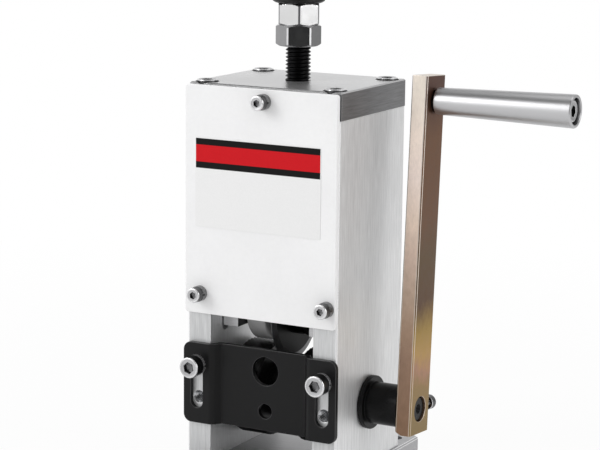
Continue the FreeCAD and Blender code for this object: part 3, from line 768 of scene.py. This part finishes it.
for node, direction, name in (("top_screws", (0, 0, 1), "top_screw_set"),
                              ("base_screws", (0, 0, -1), "base_screw_set")):
    lo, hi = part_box(node)
    seat_z = hi.z - M6["height"] * MM if direction[2] > 0 else lo.z + M6["height"] * MM
    corner_x = hi.x - M6["radius"] * MM
    corner_y = hi.y - M6["radius"] * MM
    spots = [(direction, (sx * corner_x, sy * corner_y, seat_z), 10.0 + 17.0 * sx + 9.0 * sy)
             for sx in (-1, 1) for sy in (-1, 1)]
    screw_group(name, node, "frame", M6, 16.0, spots)

# %% [markdown]
# ## Screws on the leaning crank
#
# The crank stands a few degrees back from upright. Its clamp screw points out of the
# arm's back edge and its handle bolt lies along X, so each takes its direction from the
# arm's lean.

# %% Clamp screw and handle bolt
LEAN = math.radians(3.9)
shaft_lo, shaft_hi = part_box("crank_shaft")
shaft_mid = (shaft_lo + shaft_hi) / 2
clamp_lo, clamp_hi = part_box("arm_clamp_screw")
back = Vector((0, math.cos(LEAN), -math.sin(LEAN)))
clamp_x = (clamp_lo.x + clamp_hi.x) / 2
head_far = (clamp_hi.y - M4["radius"] * MM * math.sin(LEAN)) / math.cos(LEAN)
clamp_seat = Vector((clamp_x, 0, shaft_mid.z)) + back * (head_far - M4["height"] * MM)
screw_group("clamp_screw_set", "arm_clamp_screw", "crank", M4, 8.0, [(back, clamp_seat, 15.0)])

bolt_lo, bolt_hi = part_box("handle_bolt")
grip_mid = (bolt_lo + bolt_hi) / 2
bolt_seat = Vector((bolt_hi.x - M6["height"] * MM, grip_mid.y, grip_mid.z))
bolt_length = (bolt_seat.x - bolt_lo.x) / MM
screw_group("handle_bolt_set", "handle_bolt", "crank", M6, bolt_length,
            [((1, 0, 0), bolt_seat, 12.0)])

# %% [markdown]
# ## Nuts with turned corners
#
# A nut is cut from hexagon bar and its corners are turned off by a cone, which leaves the
# curved arcs at both ends. Rings of points stacked from bottom to top give that shape: at
# every height the radius is the hexagon's or the cone's, whichever is smaller. The turned
# arcs and the corner lines get a material of their own: a painted highlight on the black
# lower nut and painted shade on the nickel upper nut.

# %% Lower and upper nut
NUT_SEGMENTS = 144
NUT_LEVELS = [0.0, 0.1, 0.25, 0.45, 0.7, 1.0, 1.4]
CONE_RISE = math.tan(math.radians(30))
CONE_START = 0.97
TURNED_GAP = 0.12
END_FACE = 0.05


def nut_radius(flats, up, height, corner):
    """The nut's radius at an angle, some way up from its foot."""
    end_gap = min(up, height - up)
    cone = flats / 2 * CONE_START + end_gap / CONE_RISE
    hexagon = hexagon_radius(flats)
    blunt = flats / math.sqrt(3) - corner
    return lambda angle: min(hexagon(angle), cone, blunt)


def nut_mesh(node, turn, corner):
    """A nut from rings; turn sets its flats, and corner is how far its edges are blunted."""
    low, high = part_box(node)
    height = (high.z - low.z) / MM
    across = min(high.x - low.x, high.y - low.y) / MM
    hexagon = hexagon_radius(across)
    levels = NUT_LEVELS + [height - level for level in reversed(NUT_LEVELS)]
    mesh = bmesh.new()
    face = start_disc(mesh, NUT_SEGMENTS, across / 2)
    ring_scale(face.verts, nut_radius(across, 0.0, height, corner))
    stack(mesh, face, [(upper - lower, nut_radius(across, upper, height, corner))
                       for lower, upper in zip(levels, levels[1:])])
    for side in mesh.faces:
        middle = side.calc_center_median()
        angle = math.atan2(middle.y, middle.x)
        gap = hexagon(angle) - math.hypot(middle.x, middle.y)
        side.material_index = int(gap > TURNED_GAP and END_FACE < middle.z < height - END_FACE)
    turning = Matrix.Rotation(math.radians(turn), 4, "Z")
    put(mesh, mesh.verts, Matrix.Translation((0, 0, low.z)) @ turning)
    return mesh


finish_piece("lower_nut_turned", nut_mesh("lower_nut", turn=0.0, corner=0.28), "screw",
             [black_nut, nut_corner_painted_highlight], "lower_nut", sharp=math.radians(12))
finish_piece("upper_nut_turned", nut_mesh("upper_nut", turn=30.0, corner=0.35), "screw",
             [nickel, nut_corner_painted_shade], "upper_nut", sharp=math.radians(12))
print("nuts: 2")

# %% [markdown]
# ## The shaft's end
#
# The crank shaft is turned between centres, so its end has a chamfer and a small centre
# hole. Both catch a glint inside the arm's bore. Half of the shaft's section is spun
# round its axis, and the helper below does the same for every turned piece and thread.

# %% Spin a section
def spin_section(mesh, section, axis, steps, turns=1, lift=0.0, closed=False):
    """Spin a section of (place along the axis, radius) points; a lift makes a thread."""
    out = X_AXIS if axis == Z_AXIS else Z_AXIS
    verts = [mesh.verts.new(axis * along + out * radius) for along, radius in section]
    follow = verts[1:] + verts[:1] if closed else verts[1:]
    chain = [mesh.edges.new(pair) for pair in zip(verts, follow)]
    bmesh.ops.spin(mesh, geom=verts + chain, cent=(0, 0, 0), axis=axis, dvec=axis * lift,
                   angle=2 * math.pi * turns, steps=steps * turns, use_merge=lift == 0.0,
                   use_duplicate=False)


def settle(mesh, place=(0, 0, 0)):
    """From millimetres to metres at a place, with normals that look outward."""
    put(mesh, mesh.verts, Matrix.Translation(place))
    bmesh.ops.recalc_face_normals(mesh, faces=mesh.faces)
    return mesh


print("spin helpers ready")

# %% Crank shaft
SHAFT_CHAMFER = 0.8
CENTRE_R = 1.0
CENTRE_MOUTH_R = 2.4


def shaft_mesh():
    """The shaft with chamfered ends and a centre hole at the crank's end."""
    x0, x1 = shaft_lo.x / MM, shaft_hi.x / MM
    radius = (shaft_hi.z - shaft_lo.z) / 2 / MM
    section = [(x0, 0.0), (x0, radius - SHAFT_CHAMFER), (x0 + SHAFT_CHAMFER, radius),
               (x1 - SHAFT_CHAMFER, radius), (x1, radius - SHAFT_CHAMFER), (x1, CENTRE_MOUTH_R),
               (x1 - 1.6, CENTRE_R), (x1 - 4.0, CENTRE_R), (x1 - 4.6, 0.0)]
    mesh = bmesh.new()
    spin_section(mesh, section, X_AXIS, steps=64)
    bmesh.ops.remove_doubles(mesh, verts=mesh.verts, dist=1e-4)
    return settle(mesh, (0, 0, shaft_mid.z))


finish_piece("crank_shaft_turned", shaft_mesh(), "crank", [black_oxide], "crank_shaft")
print("shaft turned")

# %% [markdown]
# ## A real screw thread
#
# A thread is one small profile carried round and up at the same time. The spin operator
# does just that when it is given a lift per step, so one pitch of the profile is enough
# and the turns join where they meet. Two planes then cut the ends square.

# %% Lead screw
PITCH = 1.75
THREAD_STEPS = 30
THREAD_DEPTH = 1.0
SPIGOT_R = 4.0
screw_lo, screw_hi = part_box("lead_screw")
carrier_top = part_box("blade_carrier")[1].z / MM
CREST = (screw_hi.x - screw_lo.x) / 2 / MM - 0.02
ROOT = CREST - THREAD_DEPTH
thread_low = carrier_top + 4.0
thread_top = screw_hi.z / MM


def lead_screw_mesh():
    """The threaded length, cut square at both ends."""
    mesh = bmesh.new()
    start = thread_low - 2 * PITCH
    profile = [(start, ROOT), (start + 0.20, ROOT), (start + 0.76, CREST), (start + 0.97, CREST),
               (start + PITCH, ROOT)]
    turns = math.ceil((thread_top - start) / PITCH) + 1
    spin_section(mesh, profile, Z_AXIS, THREAD_STEPS, turns, lift=PITCH / THREAD_STEPS)
    bmesh.ops.remove_doubles(mesh, verts=mesh.verts, dist=1e-3)
    for height, side in ((thread_low, -1), (thread_top - 0.3, 1)):
        bmesh.ops.bisect_plane(mesh, geom=mesh.verts[:] + mesh.edges[:] + mesh.faces[:], dist=1e-5,
                               plane_co=(0, 0, height), plane_no=(0, 0, side), clear_outer=True)
    bmesh.ops.holes_fill(mesh, edges=[e for e in mesh.edges if e.is_boundary], sides=0)
    return mesh


lead = lead_screw_mesh()
for radius, low, high in ((CREST, carrier_top + 0.3, thread_low + 0.5),
                          (SPIGOT_R, screw_lo.z / MM, thread_low)):
    bar = bmesh.ops.create_cone(lead, cap_ends=True, segments=48, radius1=radius, radius2=radius,
                                depth=high - low)["verts"]
    bmesh.ops.translate(lead, verts=bar, vec=(0, 0, (low + high) / 2))
settle(lead)
finish_piece("lead_screw_thread", lead, "screw", [black_screw], "lead_screw",
             sharp=math.radians(50))
print("thread from", round(thread_low, 1), "to", round(thread_top, 1), "mm")

# %% [markdown]
# ## Threads in the tapped holes
#
# The lower pair of bracket holes is empty, and their threads show in the slots. The same
# spin with a lift makes an inner thread: a ridge that stands in from the wall of the hole.

# %% Tapped holes in the slots
TAP_PITCH = 1.0
TAP_TURNS = 7
TAP_STEPS = 36
TAP_R = 3.01
TAP_MINOR_R = 2.46
LOWER_HOLES = 16.15


def tapped_thread(mesh, place):
    """One inner thread along +Z in millimetres, moved into place."""
    before = set(mesh.verts)
    profile = [(0.0, TAP_R), (0.42, TAP_MINOR_R), (0.58, TAP_MINOR_R), (TAP_PITCH, TAP_R)]
    spin_section(mesh, profile, Z_AXIS, TAP_STEPS, TAP_TURNS, lift=TAP_PITCH / TAP_STEPS)
    put(mesh, [vert for vert in mesh.verts if vert not in before], place)


taps = bmesh.new()
tap_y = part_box("side_plate_left")[0].y + 0.3 * MM
for x in (-side_x, side_x):
    tapped_thread(taps, facing((0, 1, 0), (x, tap_y, mid_z - LOWER_HOLES * MM)))
finish_piece("tapped_threads", taps, "frame", [ground_steel], sharp=math.radians(25))
print("tapped holes: 2, turns each:", TAP_TURNS)

# %% [markdown]
# ## The retainer's screw
#
# A small screw holds the retainer on the lead screw's lower end. It hangs head down, and
# the head recipe builds it once more.

# %% Retainer screw
retainer_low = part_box("retainer_screw")[0].z
screw_group("retainer_screw_set", "retainer_screw", "screw", M4, 11.0,
            [((0, 0, -1), (0, 0, retainer_low + M4["height"] * MM), 0.0)])

# %% [markdown]
# ## The star knob
#
# A star knob is moulded with finger hollows between its lobes. Its outline is a circle
# with round notches, and a soft minimum of the two rounds the corners where they meet.
# Extruding it in a few rising steps with slightly smaller outlines rounds its shoulders,
# and the last steps draw in to a shallow dish on top.

# %% Lobed grip and hub
knob_lo, knob_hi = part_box("star_knob")
KNOB_R = (knob_hi.y - knob_lo.y) / 2 / MM
LOBES = 7
NOTCH_R = 7.0
NOTCH_OUT = 27.0
NO_NOTCH = 150
CORNER_SOFTNESS = 1.6
HUB_R = 12.35
HUB_HEIGHT = 12.0
LOBE_SEGMENTS = 24
UNDERCUT = 2.4
LOBE_STEPS = ((0.5, 1.1), (0.8, 0.35), (1.4, 0.0))
TOP_STEPS = ((1.4, 0.35), (0.9, 1.0), (0.7, 2.2), (0.3, 4.0))
DISH_STEPS = ((0.4, 14.0), (0.2, 12.0), (-0.6, 10.5), (-0.2, 6.0))
HUB_STEPS = ((0.35, HUB_R - 1.2), (0.65, HUB_R - 0.15), (0.5, HUB_R), (10.0, HUB_R),
             (1.5, HUB_R + 1.0))


def lobe_radius(inset):
    """The outline at an angle: a circle with round notches, joined by a soft minimum."""
    widest = math.asin(NOTCH_R / NOTCH_OUT)

    def at(angle):
        sector = 2 * math.pi / LOBES
        off = abs((angle + sector / 2) % sector - sector / 2)
        chord = math.sqrt(max(0.0, NOTCH_R ** 2 - (NOTCH_OUT * math.sin(off)) ** 2))
        notch = NOTCH_OUT * math.cos(off) - chord + NO_NOTCH * max(0.0, off - widest)
        soft = math.exp(-CORNER_SOFTNESS * notch) + math.exp(-CORNER_SOFTNESS * KNOB_R)
        return -math.log(soft) / CORNER_SOFTNESS - inset
    return at


def knob_mesh():
    """The lobed grip and, below it, the round hub."""
    mesh = bmesh.new()
    hub_low = knob_lo.z / MM
    low = hub_low + HUB_HEIGHT
    straight = knob_hi.z / MM - low - 6.6
    face = start_disc(mesh, LOBES * LOBE_SEGMENTS, KNOB_R, low)
    ring_scale(face.verts, lobe_radius(UNDERCUT))
    lobes = [(rise, lobe_radius(inset))
             for rise, inset in (*LOBE_STEPS, (straight, 0.0), *TOP_STEPS)]
    stack(mesh, face, (*lobes, *DISH_STEPS))
    stack(mesh, start_disc(mesh, 64, HUB_R - UNDERCUT, hub_low), HUB_STEPS)
    return settle(mesh)


finish_piece("star_knob_moulding", knob_mesh(), "screw", [knob_black], "star_knob",
             sharp=math.radians(50))
print("knob lobes:", LOBES)

# %% [markdown]
# ## The turned grip
#
# The grip is a body of revolution, so its half section is spun round its own axis. The
# section runs along the outside with small rounds at both ends, in at the far face, down
# the pocket that hides the bolt head, and back through the bore. A thin lip at the near
# end reaches over the nut.

# %% Grip by spinning a section
grip_lo, grip_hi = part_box("handle_sleeve")
FAR_R = (grip_hi.z - grip_lo.z) / 2 / MM
NEAR_R = FAR_R - 1.3
POCKET_R = 6.2
POCKET_DEPTH = 8.0
BORE_R = 3.05
LIP = 2.0
LIP_R = 5.95
SWELL_LENGTH = 30.0


def grip_mesh():
    """The grip's closed half section, spun round X."""
    mesh = bmesh.new()
    x0, x1 = grip_lo.x / MM, grip_hi.x / MM
    lip = x0 - LIP
    section = [(x0, BORE_R), (x0, LIP_R), (lip, LIP_R), (lip, NEAR_R - 0.3),
               (lip + 0.3, NEAR_R - 0.1), (x0 + SWELL_LENGTH, NEAR_R + 0.55), (x1 - 0.7, FAR_R),
               (x1 - 0.2, FAR_R - 0.2), (x1, FAR_R - 0.6), (x1, POCKET_R + 0.25),
               (x1 - 0.25, POCKET_R), (x1 - POCKET_DEPTH, POCKET_R), (x1 - POCKET_DEPTH, BORE_R)]
    spin_section(mesh, section, X_AXIS, steps=72, closed=True)
    return settle(mesh, (0, grip_mid.y, grip_mid.z))


finish_piece("grip_turned", grip_mesh(), "grip", [grip_polish], "handle_sleeve")
print("grip turned")

# %% [markdown]
# ## The knurled feed wheels
#
# Knurling rolls a diamond pattern into the rim. The wheel's half section, with a row of
# points along the rim, is spun round, and then every second rim point, counted like a
# chessboard, is pressed in.

# %% Feed wheels
WHEEL_BORE = 13.5
KNURL_ROWS = 12
KNURL_STEPS = 96
KNURL_PRESS = 0.45
RIM_CHAMFER = 0.8
RIM_DROP = 0.9


def wheel_mesh(low, high):
    """A ring with a chamfered, knurled rim, as wide as the box between low and high."""
    mesh = bmesh.new()
    x0, x1 = low.x / MM, high.x / MM
    wheel_r = (high.z - low.z) / 2 / MM
    pitch = (x1 - x0 - 2 * RIM_CHAMFER) / KNURL_ROWS
    rim = [(x0 + RIM_CHAMFER + pitch * row, wheel_r) for row in range(KNURL_ROWS + 1)]
    section = [(x0, WHEEL_BORE), (x0, wheel_r - RIM_DROP)] + rim
    section += [(x1, wheel_r - RIM_DROP), (x1, WHEEL_BORE)]
    spin_section(mesh, section, X_AXIS, steps=KNURL_STEPS, closed=True)
    pressed = (wheel_r - KNURL_PRESS) / wheel_r
    for vert in mesh.verts:
        if math.hypot(vert.co.y, vert.co.z) < wheel_r - 0.1:
            continue
        row = round((vert.co.x - rim[0][0]) / pitch)
        column = round(math.atan2(vert.co.y, vert.co.z) / (2 * math.pi / KNURL_STEPS))
        if (row + column) % 2:
            vert.co.y *= pressed
            vert.co.z *= pressed
    return settle(mesh, (0, 0, shaft_mid.z))


for node in ("feed_wheel_left", "feed_wheel_right"):
    finish_piece(node + "_knurled", wheel_mesh(*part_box(node)), "crank", [wheel_black], node,
                 sharp=math.radians(20))
print("knurled wheels: 2")

# %% [markdown]
# ## The label
#
# The label is a thin film with rounded corners. A cube is scaled to its box, and the four
# edges that run through the film are rounded with a bevel.

# %% Film on the cover
LABEL_CORNER = 1.0


def label_mesh():
    """The film as a thin block with round corners."""
    mesh = bmesh.new()
    bmesh.ops.create_cube(mesh, size=1.0)
    bmesh.ops.scale(mesh, verts=mesh.verts, vec=label_hi - label_lo)
    bmesh.ops.translate(mesh, verts=mesh.verts, vec=(label_hi + label_lo) / 2)
    through = [e for e in mesh.edges if abs((e.verts[0].co - e.verts[1].co).normalized().y) > 0.9]
    bmesh.ops.bevel(mesh, geom=through, offset=LABEL_CORNER * MM, offset_type="OFFSET",
                    affect="EDGES", segments=6, profile=0.5, material=-1)
    return mesh


finish_piece("label_film", label_mesh(), "frame", [label_print], "cover_label")
print("label film ready")

# %% [markdown]
# ## Camera
#
# The photograph was taken with a long lens from the front right and a little above. The
# numbers below come from a fit of the body's edges: direction, a slight roll, and a lens
# of about 128 mm on a 36 mm sensor.

# %% Place the camera
AZIMUTH = math.radians(28.47)
ELEVATION = math.radians(10.65)
ROLL = math.radians(0.60)
LENS = 127.9
SENSOR = 36.0
EYE = Vector((477.9, -877.8, 309.5)) * MM

back_dir = Vector((math.sin(AZIMUTH) * math.cos(ELEVATION),
                   -math.cos(AZIMUTH) * math.cos(ELEVATION), math.sin(ELEVATION)))
camera_data = bpy.data.cameras.new("photo_camera")
camera_data.lens = LENS
camera_data.sensor_width = SENSOR
camera_data.clip_start = 0.05
camera_data.clip_end = 20.0
camera = add_object("photo_camera", camera_data)
aim = (-back_dir).to_track_quat("-Z", "Y").to_matrix().to_4x4()
camera.matrix_world = Matrix.Translation(EYE) @ aim @ Matrix.Rotation(ROLL, 4, "Z")
bpy.context.scene.camera = camera
print("camera:", LENS, "mm lens")

# %% [markdown]
# ## Floor and light
#
# A product shot on white uses big soft lamps and a pale sweep. The floor here is a plain
# sheet that still takes the tool's shadow. To the camera it shows nearly white close to
# the tool and pure white farther out, so that its edge melts into the background. To
# polished metal it shows a grey that gets lighter with distance: a painted shadow round
# the tool, seen in reflections. Three large area lamps light the front, the top and the
# right.

# %% Floor
FLOOR_HALF = 0.75
FLOOR_DROP = 0.0005
WHITE_NEAR, WHITE_FROM, WHITE_TO = 0.91, 250.0, 600.0
REFLECTED_SHADE_NEAR, SHINE_FAR, SHINE_FROM, SHINE_TO = 0.16, 0.51, 60.0, 300.0
CAMERA_RAY, GLOSSY_RAY, TRANSMISSION_RAY = 0, 3, 6


def floor_material():
    """White to the camera and through glass, grey in reflections with a painted shadow near the tool, matt
    to the lamps.
    """
    graph = Finish("floor_white")
    graph.set("Base Color", (0.80, 0.80, 0.80))
    graph.set("Roughness", 0.9)
    x, y = graph.along(ALONG_X), graph.along(ALONG_Y)
    reach = (x * x + y * y) ** 0.5
    white = reach.ramp(WHITE_FROM, WHITE_TO) * (1 - WHITE_NEAR) + WHITE_NEAR
    # Darker near the tool for reflections: a painted shadow that fades with distance.
    grey = reach.ramp(SHINE_FROM, SHINE_TO) * (SHINE_FAR - REFLECTED_SHADE_NEAR) + REFLECTED_SHADE_NEAR
    eye = graph.ray(CAMERA_RAY) + graph.ray(TRANSMISSION_RAY)
    seen = eye * white + graph.ray(GLOSSY_RAY) * grey
    glow = graph.node("ShaderNodeEmission", inputs={"Color": (1, 1, 1, 1), "Strength": 1.0})
    lit = Wire(graph, graph.shader.outputs[0])
    mix = graph.node("ShaderNodeMixShader", inputs={0: seen, 1: lit, 2: glow})
    graph.feed(graph.tree.nodes["Material Output"].inputs[0], mix)
    return graph.material


floor = bmesh.new()
bmesh.ops.create_grid(floor, x_segments=1, y_segments=1, size=FLOOR_HALF)
floor_object = add_object("floor", to_mesh("floor", floor, [floor_material()]))
floor_object.location.z = -FLOOR_DROP
print("floor:", 2 * FLOOR_HALF, "m wide")

# %% Lamps
def soft_lamp(name, place, target, size, power):
    """A large area lamp that looks at the target."""
    lamp = bpy.data.lights.new(name, "AREA")
    lamp.shape = "RECTANGLE"
    lamp.size, lamp.size_y = size
    lamp.energy = power
    holder = add_object(name, lamp)
    holder.location = place
    holder.rotation_euler = (Vector(target) - Vector(place)).to_track_quat("-Z", "Y").to_euler()


soft_lamp("front_left", (-1.1, -1.3, 1.0), (0, 0, 0.12), (0.9, 1.1), 11)
soft_lamp("over", (0.0, 0.3, 1.6), (0, 0, 0.1), (1.0, 1.0), 4)
soft_lamp("right", (1.7, 0.1, 0.7), (0, 0, 0.12), (0.7, 1.2), 6)
print("lamps: 3")

# %% [markdown]
# ## A world that polished metal can read
#
# Chrome shows nothing but its surroundings. A room that is white all round makes it look
# like paper, so the world here has a plan: white at eye level, dark overhead and on the
# photographer's side, and half as bright in the far right corner, which the tool's right
# side reflects. Diffuse light comes from a plain even grey, and the camera sees white.

# %% World
FAIR_LIGHT = 0.74
CEILING = 0.14
DARK_SIDE = 0.05
FAR_CORNER = 0.55
CORNER_AZIMUTH = math.radians(61.5)
CORNER_DIRECTION = (math.cos(CORNER_AZIMUTH), math.sin(CORNER_AZIMUTH), 0.0)


def studio_world():
    """One world that differs for camera rays, reflections and diffuse light."""
    world = bpy.data.worlds.new("studio")
    world.use_nodes = True
    bpy.context.scene.world = world
    world.node_tree.nodes.clear()
    graph = Graph(world.node_tree)
    direction = graph.node("ShaderNodeTexCoord", output=0)

    def zone(aim, start, full, level):
        """1 outside and level inside the part of the room that lies towards aim."""
        towards = graph.node("ShaderNodeVectorMath", {"operation": "DOT_PRODUCT"},
                             {0: direction, 1: aim}, output=1)
        return 1.0 - towards.ramp(start, full) * (1.0 - level)

    sky = zone((0.0, 0.0, 1.0), 0.48, 0.76, CEILING)
    open_side = zone(tuple(back_dir), 0.74, 0.90, DARK_SIDE)
    lit_corner = zone(CORNER_DIRECTION, 0.70, 0.92, FAR_CORNER)
    camera_ray = graph.ray(CAMERA_RAY)
    glossy_ray = graph.ray(GLOSSY_RAY)
    level = glossy_ray * (sky * open_side * lit_corner) + (1.0 - glossy_ray) * FAIR_LIGHT
    strength = camera_ray + (1.0 - camera_ray) * level
    shine = graph.node("ShaderNodeBackground", inputs={"Color": (1, 1, 1, 1), "Strength": strength})
    graph.feed(graph.tree.nodes.new("ShaderNodeOutputWorld").inputs[0], shine)


studio_world()
bpy.context.scene.view_settings.view_transform = "Standard"
print("world ready")
